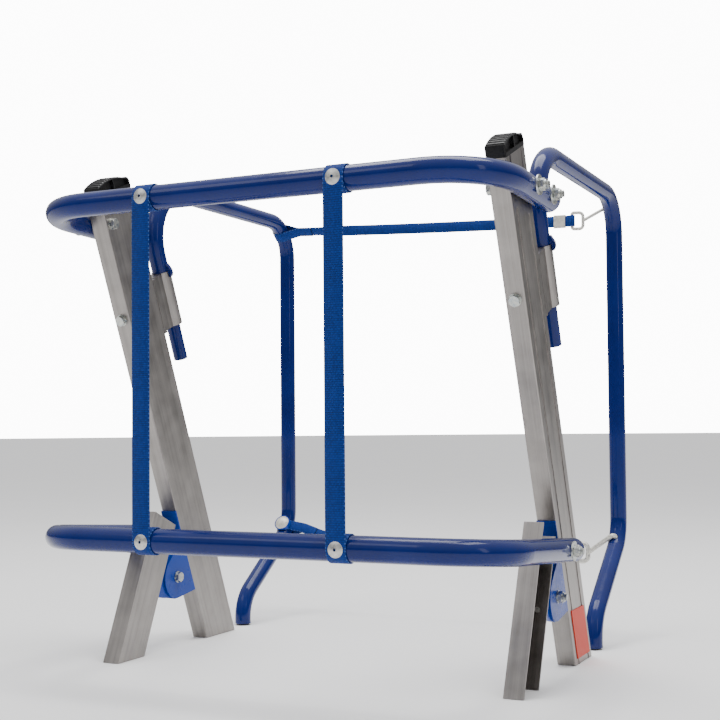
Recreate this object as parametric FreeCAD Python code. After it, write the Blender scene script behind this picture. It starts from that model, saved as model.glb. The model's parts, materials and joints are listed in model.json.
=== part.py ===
import FreeCAD, Part
import math
import os

# Guard-rail head of a folding platform stepladder.
# Millimetres. +Z is up, +X is to the right of a person who faces the two front rails, and
# the rails are at the -Y side. Everything is built with Y measured back from the axis of
# the front rails and Z up from the cut ends of the members. save() then moves it along Y,
# so that the origin is below the middle of the whole section.

V = FreeCAD.Vector

# ---- driving sizes -------------------------------------------------------------------
STILE_SPAN = 590.0        # over the outer webs of the two long stiles
MID_RAIL_HEIGHT = 180.0   # front axis of the mid rail above the cut ends
RAIL_SPACING = 414.0      # front axis of the mid rail to front axis of the top rail
HOOP_REACH = 639.0        # front rail axis back to the upright rear legs of the hoops
HOOP_TOP = 662.0          # axis of the hoops' top runs above the cut ends

# long stiles: box extrusions that lean forward
STILE_WIDTH = 25.0
STILE_DEPTH = 74.5
STILE_WALL = 1.8
STILE_LEAN = 22.8
STILE_SETBACK = 278.0     # front face behind the rail axis, at the mid rail's height
STILE_LENGTH = 672.0      # along the front face
STILE_CORNER = 1.6
WEB_RIB_HEIGHT = 0.8
WEB_RIB_WIDTH = 1.6
WEB_RIB_EDGE = 15.5       # edge of the stile to the middle of each web rib

# short legs: channel extrusions that lean back, open to the outside
LEG_WIDTH = 25.0
LEG_DEPTH = 55.0
LEG_WALL = 2.2
LEG_LEAN = 24.0
LEG_LENGTH = 216.0        # along the front face
LEG_RIB_HEIGHT = 5.0
LEG_RIB_EDGE = 15.0       # rear face to the middle of the inner rib

# tubes
RAIL_D = 30.0
RAIL_WALL = 2.0
RAIL_BEND = 85.0
TOP_RAIL_TILT = 1.8       # the arms run slightly down to the back
MID_RAIL_TILT = 4.4
TOP_RAIL_ARM = 208.0      # front axis to the open end
MID_RAIL_TAIL = 51.0      # pivot bolt to the open end
HOOP_D = 25.0
HOOP_WALL = 1.5
HOOP_INSET = 10.0         # stile's outer web to the plane of the hoop's axis
HOOP_FRONT_BEND = 71.0
HOOP_REAR_BEND = 58.0
HOOP_LOW_BEND = 55.0
HOOP_KNEE = 144.0         # corner of the rear leg and the lower diagonal, above the cut ends
HOOP_DIAGONAL = 34.0      # slope of the lower diagonal
HOOP_END = 2.0            # hoop ends above the cut ends of the other members

# sleeves for the hoops
SLEEVE_STANDOFF = 45.0    # rear face of the stile to the sleeve's axis
SLEEVE_LENGTH = 80.0
SLEEVE_MIDDLE = 497.0     # along the stile
SLEEVE_OD = 28.0
SLEEVE_FLANGE = 6.0
SLEEVE_RIB = 16.0
SPIGOT_D = 20.0
SPIGOT_BELOW = 54.0       # spigot shows this much below the sleeve
SPIGOT_WALL = 2.0
SLIDE_CLEARANCE = 0.3
SLEEVE_BOLT = 503.0       # along the stile

# hinge between stile and short leg
HINGE_HEIGHT = 100.0
STILE_STANDOFF = 35.0     # pivot to the stile's front face
LEG_STANDOFF = 34.0       # pivot to the leg's rear face
BRACKET_SHEET = 2.5
BRACKET_UP = 46.0         # cheeks, along the member from the pivot
BRACKET_DOWN = 40.0
BRACKET_TONGUE = 88.0     # top of the stile bracket's base
LOBE_CLEARANCE = 1.0      # round ends of the cheeks to the other bracket's base
NEST_CLEARANCE = 0.4
BUSH_OD = 12.0
BUSH_CLEARANCE = 0.05
BRACKET_RIVETS = (-28.0, 34.0)
MID_PIVOT_SETBACK = 8.0   # mid rail bolt behind the middle of the short leg

# fasteners, M8
BOLT_D = 8.0
HOLE_CLEARANCE = 0.2
PIVOT_CLEARANCE = 0.05
HEX_FLATS = 13.0
HEAD_HEIGHT = 5.3
NUT_HEIGHT = 8.0
BIG_WASHER_D = 24.0
SMALL_WASHER_D = 16.0
WASHER_T = 1.6
THREAD_TAIL = 3.0
TOP_BOLT_EDGE = 12.5      # front face of the stile to the first top rail bolt
TOP_BOLT_PITCH = 53.0
TUBE_GAP = 0.3            # rail tubes clear the members by this much

# rivets
RIVET_HEAD_D = 18.5
RIVET_HEAD_T = 2.4
RIVET_SHANK_D = 5.0
RIVET_BORE_D = 3.6
SMALL_RIVET_D = 9.0
RIVET_TAIL = 2.0

# webbing
STRAP_WIDTH = 25.0
STRAP_T = 1.6
STRAP_OFFSET = 129.0      # middle of the object to the middle of each strap
STRAP_GAP = 0.2
BELT_WIDTH = 17.0
BELT_T = 1.6
LOOP_GAP = 0.2
BELT_GAP = 0.8
UPPER_LOOP_ANGLE = 47.0   # place of the loop round the rear bend, above the level
UPPER_BELT_FALL = 18.0
UPPER_BELT_SAG = 2.0
LOWER_LOOP_ANGLE = -34.0
LOWER_BELT_FALL = 22.0
LOWER_BELT_SAG = 32.0
LOWER_END_SHARE = 0.6     # how far the belt's end lies from the loop's depth to the latch's
FERRULE_LENGTH = 18.0
FERRULE_SHEET = 1.2
FERRULE_SETBACK = 17.0    # end of the belt to the middle of its ferrule
HOOK_REACH = 63.0         # end of the belt to the right-hand hoop's axis
UPPER_WIRE_D = 5.0
LOWER_WIRE_D = 7.0
HOOK_RING_LENGTH = 14.0
HOOK_PIN = 5.0            # pin inside the hoop tube
HOOK_HOLE_CLEARANCE = 0.8
UPPER_LATCH_ANGLE = 40.0  # place of the hook's hole round the rear bend
LOWER_LATCH_ANGLE = -40.0
ANCHOR_D = 24.0
ANCHOR_T = 6.0
COLLAR_D = 27.0
COLLAR_T = 3.5

# end caps of the stiles
CAP_FRONT = 15.0
CAP_CREST = 21.0
CAP_REAR = 7.0
CAP_EDGE = 3.0
CAP_PLUG = 26.0
CAP_PLUG_CLEARANCE = 0.3
CAP_RIM = 2.6
CAP_BAND = 5.0
CAP_POCKET = 4.0
CAP_RIBS = 12

LABEL_TOP = 74.0
LABEL_BOTTOM = 8.0
LABEL_EDGE = 10.0         # edges of the stile to the edges of the label
LABEL_T = 0.3

# ---- worked-out places ---------------------------------------------------------------
WEB_X = STILE_SPAN / 2
INNER_X = WEB_X - STILE_WIDTH
MID_X = WEB_X - STILE_WIDTH / 2
RAIL_R = RAIL_D / 2
RAIL_X = WEB_X + TUBE_GAP + RAIL_R
HOOP_R = HOOP_D / 2
HOOP_X = WEB_X - HOOP_INSET
LEAN = math.radians(STILE_LEAN)
LEG_ANGLE = math.radians(LEG_LEAN)
BOLT_R = BOLT_D / 2
HOLE_R = BOLT_R + HOLE_CLEARANCE
LOOP_R = HOOP_R + LOOP_GAP
TOP_RAIL_HEIGHT = MID_RAIL_HEIGHT + RAIL_SPACING

front_reach = RAIL_R + STRAP_GAP + STRAP_T + RIVET_HEAD_T
rear_reach = HOOP_R
shift_y = (front_reach - HOOP_REACH - rear_reach) / 2

# local frames: X as the object, Y from the member's front face to its rear, Z up along it
stile_foot_y = STILE_SETBACK + MID_RAIL_HEIGHT * math.tan(LEAN)
stile_frame = FreeCAD.Placement(V(0, stile_foot_y, 0), FreeCAD.Rotation(V(1, 0, 0), STILE_LEAN))

pivot_z_on_stile = (HINGE_HEIGHT + STILE_STANDOFF * math.sin(LEAN)) / math.cos(LEAN)
pivot = stile_frame.multVec(V(0, -STILE_STANDOFF, pivot_z_on_stile))
pivot_z_on_leg = (pivot.z + (LEG_DEPTH + LEG_STANDOFF) * math.sin(LEG_ANGLE)) / math.cos(LEG_ANGLE)
leg_rotation = FreeCAD.Rotation(V(1, 0, 0), -LEG_LEAN)
leg_foot = pivot - leg_rotation.multVec(V(0, LEG_DEPTH + LEG_STANDOFF, pivot_z_on_leg))
leg_frame = FreeCAD.Placement(leg_foot, leg_rotation)


# ---- general helpers -----------------------------------------------------------------
def placed(shape, frame):
    shape = shape.copy()
    shape.Placement = frame.multiply(shape.Placement)
    return shape


def mirrored(shape):
    return shape.mirror(V(0, 0, 0), V(1, 0, 0))


def save(name, *solids):
    solids = [s.Solids[0] for s in solids]
    shape = solids[0] if len(solids) == 1 else Part.makeCompound(solids)
    shape = shape.copy()
    shape.translate(V(0, shift_y, 0))
    shape.exportStep(f"parts/{name}.step")


def save_pair(name, right):
    save(name + "_right", right)
    save(name + "_left", mirrored(right))


def block(x0, x1, y0, y1, z0, z1):
    return Part.makeBox(x1 - x0, y1 - y0, z1 - z0, V(x0, y0, z0))


def rod_x(radius, x0, x1, y, z):
    return Part.makeCylinder(radius, x1 - x0, V(x0, y, z), V(1, 0, 0))


def hex_x(x0, x1, y, z):
    corner = HEX_FLATS / math.sqrt(3)
    points = []
    for i in range(7):
        angle = math.radians(60 * i)
        points.append(V(x0, y + corner * math.sin(angle), z + corner * math.cos(angle)))
    prism = Part.Face(Part.makePolygon(points)).extrude(V(x1 - x0, 0, 0))
    length = x1 - x0
    crown = Part.makeCone(corner + length, corner * 0.87, length, V(x0, y, z), V(1, 0, 0))
    base = Part.makeCone(corner * 0.87, corner + length, length, V(x0, y, z), V(1, 0, 0))
    return prism.common(crown).common(base)


def rounded_path(points, radii):
    """Straight runs through the points, joined by tangent arcs at the inner ones."""
    edges = []
    start = points[0]
    for i, radius in enumerate(radii):
        before, corner, after = points[i:i + 3]
        back = (before - corner).normalize()
        ahead = (after - corner).normalize()
        half = back.getAngle(ahead) / 2
        reach = radius / math.tan(half)
        first = corner + back * reach
        last = corner + ahead * reach
        middle = corner + (back + ahead).normalize() * (radius / math.sin(half) - radius)
        edges.append(Part.makeLine(start, first))
        edges.append(Part.Arc(first, middle, last).toShape())
        start = last
    edges.append(Part.makeLine(start, points[-1]))
    return Part.Wire(edges)


def rod_along(path, radius):
    start = path.Edges[0].valueAt(path.Edges[0].FirstParameter)
    heading = path.Edges[0].tangentAt(path.Edges[0].FirstParameter)
    section = Part.Wire(Part.makeCircle(radius, start, heading))
    return path.makePipeShell([section], True, False)


def tube_along(path, outer, wall):
    return rod_along(path, outer).cut(rod_along(path, outer - wall))


def tangent_point(point, centre, radius, side):
    """Where a line from the point touches the circle, in the YZ plane."""
    away = point - centre
    turn = side * math.acos(radius / away.Length)
    direction = math.atan2(away.z, away.y) + turn
    return centre + V(0, radius * math.cos(direction), radius * math.sin(direction))


def lobe_plate(x0, x1, low, high, centre, radius, side):
    """A plate from a straight edge, low to high, to a round end about the centre."""
    touch_low = tangent_point(low, centre, radius, side)
    touch_high = tangent_point(high, centre, radius, -side)
    far = centre + (centre - (low + high) * 0.5).normalize() * radius
    outline = Part.Wire([
        Part.makeLine(low, touch_low),
        Part.Arc(touch_low, far, touch_high).toShape(),
        Part.makeLine(touch_high, high),
        Part.makeLine(high, low),
    ])
    face = Part.Face(outline)
    face.translate(V(x0 - low.x, 0, 0))
    return face.extrude(V(x1 - x0, 0, 0))


below_floor = block(-500, 500, -500, 1500, -400, 0)


# ---- shared fastener shapes, along X ---------------------------------------------------
def washer_x(x0, y, z, diameter, hole=HOLE_R):
    return rod_x(diameter / 2, x0, x0 + WASHER_T, y, z).cut(rod_x(hole, x0, x0 + WASHER_T, y, z))


def bolt_x(head_x, end_x, y, z):
    """Hex bolt with its head towards the middle of the object and its end outside."""
    head = hex_x(head_x - HEAD_HEIGHT, head_x, y, z)
    return head.fuse(rod_x(BOLT_R, head_x, end_x, y, z)).removeSplitter()


def nut_x(x0, y, z):
    """Lock nut: a hexagon with a round collar over its insert."""
    collar = rod_x(HEX_FLATS / 2 - 0.8, x0, x0 + NUT_HEIGHT, y, z)
    body = hex_x(x0, x0 + NUT_HEIGHT * 0.75, y, z).fuse(collar).removeSplitter()
    return body.cut(rod_x(BOLT_R, x0, x0 + NUT_HEIGHT, y, z))


def blind_rivet(head_d, grip):
    """Blind rivet along +Y, with its head's underside at y = 0."""
    sphere_r = (head_d * head_d / 4 + RIVET_HEAD_T * RIVET_HEAD_T) / (2 * RIVET_HEAD_T)
    dome = Part.makeSphere(sphere_r, V(0, sphere_r - RIVET_HEAD_T, 0))
    head = dome.common(Part.makeCylinder(head_d / 2, RIVET_HEAD_T, V(0, -RIVET_HEAD_T, 0), V(0, 1, 0)))
    shank = Part.makeCylinder(RIVET_SHANK_D / 2, grip + RIVET_TAIL, V(0, 0, 0), V(0, 1, 0))
    bulb = Part.makeCylinder(RIVET_SHANK_D / 2 + 1, RIVET_TAIL, V(0, grip, 0), V(0, 1, 0))
    bore = Part.makeCylinder(RIVET_BORE_D / 2, RIVET_HEAD_T + grip, V(0, -RIVET_HEAD_T, 0), V(0, 1, 0))
    return head.fuse([shank, bulb]).removeSplitter().cut(bore)


# ---- rails ---------------------------------------------------------------------------
def u_rail(height, tilt, arm):
    """U-shaped tube: a straight front and two arms that run back along the members."""
    points = [V(-RAIL_X, arm, 0), V(-RAIL_X, 0, 0), V(RAIL_X, 0, 0), V(RAIL_X, arm, 0)]
    tube = tube_along(rounded_path(points, (RAIL_BEND, RAIL_BEND)), RAIL_R, RAIL_WALL)
    frame = FreeCAD.Placement(V(0, 0, height), FreeCAD.Rotation(V(1, 0, 0), -tilt))
    return placed(tube, frame)


def rail_axis_z(height, tilt, y):
    return height - y * math.tan(math.radians(tilt))


def rail_rivet_holes(rail, height):
    for x in (-STRAP_OFFSET, STRAP_OFFSET):
        hole = Part.makeCylinder(RIVET_SHANK_D / 2 + STRAP_GAP / 2, RAIL_R, V(x, -RAIL_R, height),
                                 V(0, 1, 0))
        rail = rail.cut(hole)
    return rail


# top rail bolts: two through each stile, on the axis of the rail's arm
top_bolts = []
for y_local in (TOP_BOLT_EDGE, TOP_BOLT_EDGE + TOP_BOLT_PITCH):
    base = stile_frame.multVec(V(0, y_local, 0))
    climb = stile_frame.multVec(V(0, y_local, 1)) - base
    slope = math.tan(math.radians(TOP_RAIL_TILT))
    along = (rail_axis_z(TOP_RAIL_HEIGHT, TOP_RAIL_TILT, base.y) - base.z) / (climb.z + slope * climb.y)
    top_bolts.append(base + climb * along)

# mid rail pivot: where the rail's arm crosses the line of the bolt in the short leg
mid_pivot_y = LEG_DEPTH / 2 + MID_PIVOT_SETBACK
leg_mid = leg_frame.multVec(V(0, mid_pivot_y, 0))
leg_climb = leg_frame.multVec(V(0, mid_pivot_y, 1)) - leg_mid
mid_slope = math.tan(math.radians(MID_RAIL_TILT))
mid_along = (rail_axis_z(MID_RAIL_HEIGHT, MID_RAIL_TILT, leg_mid.y) - leg_mid.z)
mid_along = mid_along / (leg_climb.z + mid_slope * leg_climb.y)
mid_pivot = leg_mid + leg_climb * mid_along

top_rail = u_rail(TOP_RAIL_HEIGHT, TOP_RAIL_TILT, TOP_RAIL_ARM)
for point in top_bolts:
    for sign in (-1, 1):
        x0, x1 = sorted((sign * INNER_X, sign * (RAIL_X + RAIL_D)))
        top_rail = top_rail.cut(rod_x(HOLE_R, x0, x1, point.y, point.z))
top_rail = rail_rivet_holes(top_rail, TOP_RAIL_HEIGHT)

mid_arm = mid_pivot.y / math.cos(math.radians(MID_RAIL_TILT)) + MID_RAIL_TAIL
mid_rail = u_rail(MID_RAIL_HEIGHT, MID_RAIL_TILT, mid_arm)
for sign in (-1, 1):
    x0, x1 = sorted((sign * INNER_X, sign * (RAIL_X + RAIL_D)))
    mid_rail = mid_rail.cut(rod_x(BOLT_R + PIVOT_CLEARANCE, x0, x1, mid_pivot.y, mid_pivot.z))
mid_rail = rail_rivet_holes(mid_rail, MID_RAIL_HEIGHT)


# ---- long stiles -----------------------------------------------------------------------
def long_edges(shape):
    return [e for e in shape.Edges if abs(e.tangentAt(e.FirstParameter).z) > 0.99]


def make_stile():
    low = -STILE_DEPTH
    outer = block(INNER_X, WEB_X, 0, STILE_DEPTH, low, STILE_LENGTH)
    outer = outer.makeFillet(STILE_CORNER, long_edges(outer))
    for y in (WEB_RIB_EDGE, STILE_DEPTH - WEB_RIB_EDGE):
        half = WEB_RIB_WIDTH / 2
        outer = outer.fuse(block(WEB_X - 1, WEB_X + WEB_RIB_HEIGHT, y - half, y + half, low, STILE_LENGTH))
    bore = block(INNER_X + STILE_WALL, WEB_X - STILE_WALL, STILE_WALL, STILE_DEPTH - STILE_WALL,
                 low, STILE_LENGTH)
    stile = placed(outer.removeSplitter().cut(bore), stile_frame)
    for point in top_bolts:
        # the ribs are milled flat where the rail's arm lies against the web
        stile = stile.cut(rod_x(HOLE_R, INNER_X - 1, WEB_X + 2, point.y, point.z))
    arm = u_rail(TOP_RAIL_HEIGHT, TOP_RAIL_TILT, TOP_RAIL_ARM)
    relief = arm.BoundBox
    stile = stile.cut(block(WEB_X, WEB_X + 2, 0, TOP_RAIL_ARM + RAIL_R, relief.ZMin - 4, relief.ZMax + 4))
    bolt = Part.makeCylinder(HOLE_R, STILE_DEPTH + 2, V(MID_X, -1, SLEEVE_BOLT), V(0, 1, 0))
    stile = stile.cut(placed(bolt, stile_frame))
    for z in BRACKET_RIVETS:
        hole = Part.makeCylinder(RIVET_SHANK_D / 2, STILE_WALL + 2,
                                 V(MID_X, -1, pivot_z_on_stile + z), V(0, 1, 0))
        stile = stile.cut(placed(hole, stile_frame))
    return stile.cut(below_floor)


# ---- stile end caps ----------------------------------------------------------------------
def cap_outline(inset, base):
    """Side view of the cap in the stile's frame: a low front, a crest, a round rear."""
    front, rear = inset, STILE_DEPTH - inset
    shoulder = STILE_DEPTH * 0.86
    lip = (CAP_CREST + CAP_REAR) / 2 - inset
    start = V(0, front, base)
    brow = V(0, front, CAP_FRONT - inset)
    crest = V(0, STILE_DEPTH * 0.52, CAP_CREST - inset)
    turn = V(0, shoulder, lip + 1.5)
    tail = V(0, rear, CAP_REAR - inset)
    rear_knee = V(0, shoulder + (rear - shoulder) * 0.75, (lip + 1.5 + tail.z) / 2 + 1.8)
    return Part.Wire([
        Part.makeLine(start, brow),
        Part.Arc(brow, crest, turn).toShape(),
        Part.Arc(turn, rear_knee, tail).toShape(),
        Part.makeLine(tail, V(0, rear, base)),
        Part.makeLine(V(0, rear, base), start),
    ])


def make_cap():
    outline = cap_outline(0, 0)
    head = Part.Face(outline).extrude(V(STILE_WIDTH, 0, 0))
    crest = [e for e in head.Edges if e.BoundBox.YLength > STILE_DEPTH / 2 and e.BoundBox.ZMax > CAP_FRONT]
    front = [e for e in head.Edges if e.BoundBox.YMax < 0.01 and e.BoundBox.ZMax > CAP_FRONT - 0.01]
    head = head.makeFillet(CAP_EDGE, crest + front)
    crest_edge = outline.Edges[1]
    for i in range(CAP_RIBS):
        share = (i + 0.5) / CAP_RIBS
        at = crest_edge.valueAt(crest_edge.FirstParameter + share * crest_edge.Length
                                * (crest_edge.LastParameter - crest_edge.FirstParameter) / crest_edge.Length)
        head = head.cut(Part.makeCylinder(1.3, STILE_WIDTH, V(0, at.y, at.z), V(1, 0, 0)))
    pocket = Part.Face(cap_outline(CAP_RIM, CAP_BAND)).extrude(V(CAP_POCKET, 0, 0))
    divider = block(0, CAP_POCKET, STILE_DEPTH * 0.5 - 1.2, STILE_DEPTH * 0.5 + 1.2, 0, CAP_CREST)
    pocket = pocket.cut(divider)
    head = head.cut(pocket)
    pocket.translate(V(STILE_WIDTH - CAP_POCKET, 0, 0))
    head = head.cut(pocket)
    edge = STILE_WALL + CAP_PLUG_CLEARANCE
    plug = block(edge, STILE_WIDTH - edge, edge, STILE_DEPTH - edge, -CAP_PLUG, 0)
    cap = head.fuse(plug).removeSplitter()
    cap.translate(V(INNER_X, 0, STILE_LENGTH))
    return placed(cap, stile_frame)


# ---- short legs --------------------------------------------------------------------------
def make_leg():
    inner = WEB_X - LEG_WIDTH
    low = -LEG_DEPTH
    leg = block(inner, WEB_X, 0, LEG_DEPTH, low, LEG_LENGTH)
    leg = leg.cut(block(inner + LEG_WALL, WEB_X, LEG_WALL, LEG_DEPTH - LEG_WALL, low, LEG_LENGTH))
    rib_y = LEG_DEPTH - LEG_RIB_EDGE
    rib = block(inner + LEG_WALL - 0.5, inner + LEG_WALL + LEG_RIB_HEIGHT, rib_y - 1, rib_y + 1,
                low, LEG_LENGTH)
    leg = placed(leg.fuse(rib).removeSplitter(), leg_frame)
    leg = leg.cut(rod_x(HOLE_R, inner - 1, WEB_X, mid_pivot.y, mid_pivot.z))
    # the rib is cut away where the spacer stands on the web
    leg = leg.cut(rod_x(BUSH_OD / 2 + 2, inner + LEG_WALL, WEB_X, mid_pivot.y, mid_pivot.z))
    for z in BRACKET_RIVETS:
        hole = Part.makeCylinder(RIVET_SHANK_D / 2, LEG_WALL + 2,
                                 V(MID_X, LEG_DEPTH - LEG_WALL - 1, pivot_z_on_leg + z), V(0, 1, 0))
        leg = leg.cut(placed(hole, leg_frame))
    return leg.cut(below_floor)


# ---- hinge brackets ------------------------------------------------------------------------
def make_stile_bracket():
    face_y = -BRACKET_SHEET
    low = pivot_z_on_stile - BRACKET_DOWN
    high = pivot_z_on_stile + BRACKET_UP
    plate = block(INNER_X, WEB_X, face_y, 0, low, high)
    centre = V(0, -STILE_STANDOFF, pivot_z_on_stile)
    lobe = LEG_STANDOFF - BRACKET_SHEET - LOBE_CLEARANCE
    for x in (INNER_X, WEB_X - BRACKET_SHEET):
        cheek = lobe_plate(x, x + BRACKET_SHEET, V(0, 0, low), V(0, 0, high), centre, lobe, -1)
        plate = plate.fuse(cheek)
    tongue = block(INNER_X, WEB_X, face_y, 0, high, pivot_z_on_stile + BRACKET_TONGUE)
    plate = plate.fuse(tongue).removeSplitter()
    plate = plate.cut(rod_x(HOLE_R, INNER_X, WEB_X, -STILE_STANDOFF, pivot_z_on_stile))
    for z in BRACKET_RIVETS:
        plate = plate.cut(Part.makeCylinder(RIVET_SHANK_D / 2, BRACKET_SHEET,
                                            V(MID_X, face_y, pivot_z_on_stile + z), V(0, 1, 0)))
    return placed(plate, stile_frame)


def make_leg_bracket():
    inner = INNER_X + BRACKET_SHEET + NEST_CLEARANCE
    outer = WEB_X - BRACKET_SHEET - NEST_CLEARANCE
    rear = LEG_DEPTH + BRACKET_SHEET
    low = pivot_z_on_leg - BRACKET_DOWN
    high = pivot_z_on_leg + BRACKET_UP
    plate = block(inner, outer, LEG_DEPTH, rear, low, high)
    centre = V(0, LEG_DEPTH + LEG_STANDOFF, pivot_z_on_leg)
    lobe = STILE_STANDOFF - BRACKET_SHEET - LOBE_CLEARANCE
    for x in (inner, outer - BRACKET_SHEET):
        cheek = lobe_plate(x, x + BRACKET_SHEET, V(0, LEG_DEPTH, low), V(0, LEG_DEPTH, high), centre,
                           lobe, 1)
        plate = plate.fuse(cheek)
    plate = plate.removeSplitter()
    plate = plate.cut(rod_x(BUSH_OD / 2 + BUSH_CLEARANCE, inner, outer, centre.y, centre.z))
    for z in BRACKET_RIVETS:
        plate = plate.cut(Part.makeCylinder(RIVET_SHANK_D / 2, BRACKET_SHEET,
                                            V(MID_X, LEG_DEPTH, pivot_z_on_leg + z), V(0, 1, 0)))
    return placed(plate, leg_frame)


def bracket_rivet(y, z, frame, turn, wall):
    rivet = blind_rivet(SMALL_RIVET_D, BRACKET_SHEET + wall)
    rivet.rotate(V(0, 0, 0), V(0, 0, 1), turn)
    rivet.translate(V(MID_X, y, z))
    return placed(rivet, frame)


# ---- sleeves -------------------------------------------------------------------------------
def make_sleeve():
    axis_y = STILE_DEPTH + SLEEVE_STANDOFF
    low = SLEEVE_MIDDLE - SLEEVE_LENGTH / 2
    high = SLEEVE_MIDDLE + SLEEVE_LENGTH / 2
    flange = block(INNER_X, WEB_X, STILE_DEPTH, STILE_DEPTH + SLEEVE_FLANGE, low, high)
    rib = block(HOOP_X - SLEEVE_RIB / 2, HOOP_X + SLEEVE_RIB / 2, STILE_DEPTH, axis_y, low, high)
    barrel = Part.makeCylinder(SLEEVE_OD / 2, SLEEVE_LENGTH, V(HOOP_X, axis_y, low))
    bore = Part.makeCylinder(SPIGOT_D / 2 + SLIDE_CLEARANCE, SLEEVE_LENGTH, V(HOOP_X, axis_y, low))
    sleeve = flange.fuse([rib, barrel]).removeSplitter().cut(bore)
    tapped = Part.makeCylinder(BOLT_R, SLEEVE_STANDOFF - SLEEVE_OD / 2,
                               V(MID_X, STILE_DEPTH, SLEEVE_BOLT), V(0, 1, 0))
    return placed(sleeve.cut(tapped), stile_frame)


def turned_to_y(shape):
    """Turns a fastener built along +X at the origin to run along +Y."""
    shape.rotate(V(0, 0, 0), V(0, 0, 1), 90)
    return shape


def make_sleeve_bolt():
    reach = STILE_DEPTH + SLEEVE_STANDOFF - SLEEVE_OD / 2 - 2
    bolt = turned_to_y(bolt_x(-WASHER_T, reach, 0, 0))
    bolt.translate(V(MID_X, 0, SLEEVE_BOLT))
    return placed(bolt, stile_frame)


def make_sleeve_washer():
    washer = turned_to_y(washer_x(-WASHER_T, 0, 0, SMALL_WASHER_D))
    washer.translate(V(MID_X, 0, SLEEVE_BOLT))
    return placed(washer, stile_frame)


# ---- hoops -----------------------------------------------------------------------------------
sleeve_axis_y = STILE_DEPTH + SLEEVE_STANDOFF
sleeve_top = stile_frame.multVec(V(0, sleeve_axis_y, SLEEVE_MIDDLE + SLEEVE_LENGTH / 2))
up_stile = V(0, -math.sin(LEAN), math.cos(LEAN))


def on_front_leg(z):
    """Point of the hoop's front leg axis at a height."""
    return sleeve_top + up_stile * ((z - sleeve_top.z) / up_stile.z)


def hoop_points():
    """Path of the hoop's axis in its own plane, from the sleeve round to the lower end."""
    knee = V(0, HOOP_REACH, HOOP_KNEE)
    fall = math.tan(math.radians(HOOP_DIAGONAL))
    # the diagonal meets the line of the front leg again near the bottom
    foot = on_front_leg(0)
    run = (HOOP_REACH - foot.y - (HOOP_KNEE - foot.z) / fall) / (-math.tan(LEAN) - 1 / fall)
    return_point = on_front_leg(run)
    return [
        sleeve_top,
        on_front_leg(HOOP_TOP),
        V(0, HOOP_REACH, HOOP_TOP),
        knee,
        return_point,
        on_front_leg(-150),
    ]


def make_hoop(hole):
    radii = (HOOP_FRONT_BEND, HOOP_REAR_BEND, HOOP_LOW_BEND, HOOP_LOW_BEND)
    hoop = tube_along(rounded_path(hoop_points(), radii), HOOP_R, HOOP_WALL)
    hoop = hoop.cut(block(-500, 500, -500, 1500, -400, HOOP_END))
    hoop.translate(V(HOOP_X, 0, 0))
    for drill in hole:
        hoop = hoop.cut(drill)
    return hoop


def make_spigot():
    """Swaged inside the hoop tube, slides in the sleeve, and shows below it."""
    corner = on_front_leg(HOOP_TOP)
    straight = (corner - sleeve_top).Length - HOOP_FRONT_BEND / math.tan((math.pi / 2 - LEAN) / 2)
    above = straight - 1
    length = above + SLEEVE_LENGTH + SPIGOT_BELOW
    start = sleeve_top + up_stile * above - up_stile * length
    outer = Part.makeCylinder(SPIGOT_D / 2, length, start, up_stile)
    outer = outer.cut(Part.makeCylinder(SPIGOT_D / 2 - SPIGOT_WALL, length, start, up_stile))
    swage = Part.makeCylinder(HOOP_R - HOOP_WALL, above, sleeve_top, up_stile)
    swage = swage.cut(Part.makeCylinder(SPIGOT_D / 2 - SPIGOT_WALL, above, sleeve_top, up_stile))
    spigot = outer.fuse(swage).removeSplitter()
    spigot.translate(V(HOOP_X, 0, 0))
    return spigot


def make_nib():
    """Small hooked key welded to the hoop, which drops over the rim of the sleeve."""
    clear = SLEEVE_OD / 2 + 0.6
    outer = clear + 4.5
    outline = [(HOOP_R - 2, 11), (HOOP_R - 2, 0.4), (clear, 0.4), (clear, -8), (outer - 2, -8),
               (outer, -4), (outer, 2), (HOOP_R + 2, 11)]
    points = [V(x, 0, z) for x, z in outline]
    nib = Part.Face(Part.makePolygon(points + points[:1])).extrude(V(0, 6, 0))
    nib.translate(V(0, -3, 0))
    nib = nib.cut(Part.makeCylinder(HOOP_R, 12, V(0, 0, 0)))
    nib.translate(V(HOOP_X, sleeve_axis_y, SLEEVE_MIDDLE + SLEEVE_LENGTH / 2))
    return placed(nib, stile_frame)


# ---- webbing straps between the rails ---------------------------------------------------------
def make_strap():
    ring_in = RAIL_R + STRAP_GAP
    ring_out = ring_in + STRAP_T
    half = STRAP_WIDTH / 2
    band = block(-half, half, -ring_out, -ring_in, MID_RAIL_HEIGHT, TOP_RAIL_HEIGHT)
    strap = band
    for height in (MID_RAIL_HEIGHT, TOP_RAIL_HEIGHT):
        ring = Part.makeCylinder(ring_out, STRAP_WIDTH, V(-half, 0, height), V(1, 0, 0))
        strap = strap.fuse(ring)
    strap = strap.removeSplitter()
    for height in (MID_RAIL_HEIGHT, TOP_RAIL_HEIGHT):
        strap = strap.cut(Part.makeCylinder(ring_in, STRAP_WIDTH, V(-half, 0, height), V(1, 0, 0)))
        strap = strap.cut(Part.makeCylinder(RIVET_SHANK_D / 2, ring_out, V(0, -ring_out, height),
                                            V(0, 1, 0)))
    strap.translate(V(STRAP_OFFSET, 0, 0))
    return strap


def strap_rivets(height):
    ring_out = RAIL_R + STRAP_GAP + STRAP_T
    rivets = []
    for x in (-STRAP_OFFSET, STRAP_OFFSET):
        rivet = blind_rivet(RIVET_HEAD_D, STRAP_GAP + STRAP_T + RAIL_WALL + 0.4)
        rivet.translate(V(x, -ring_out, height))
        rivets.append(rivet)
    return rivets


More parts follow.
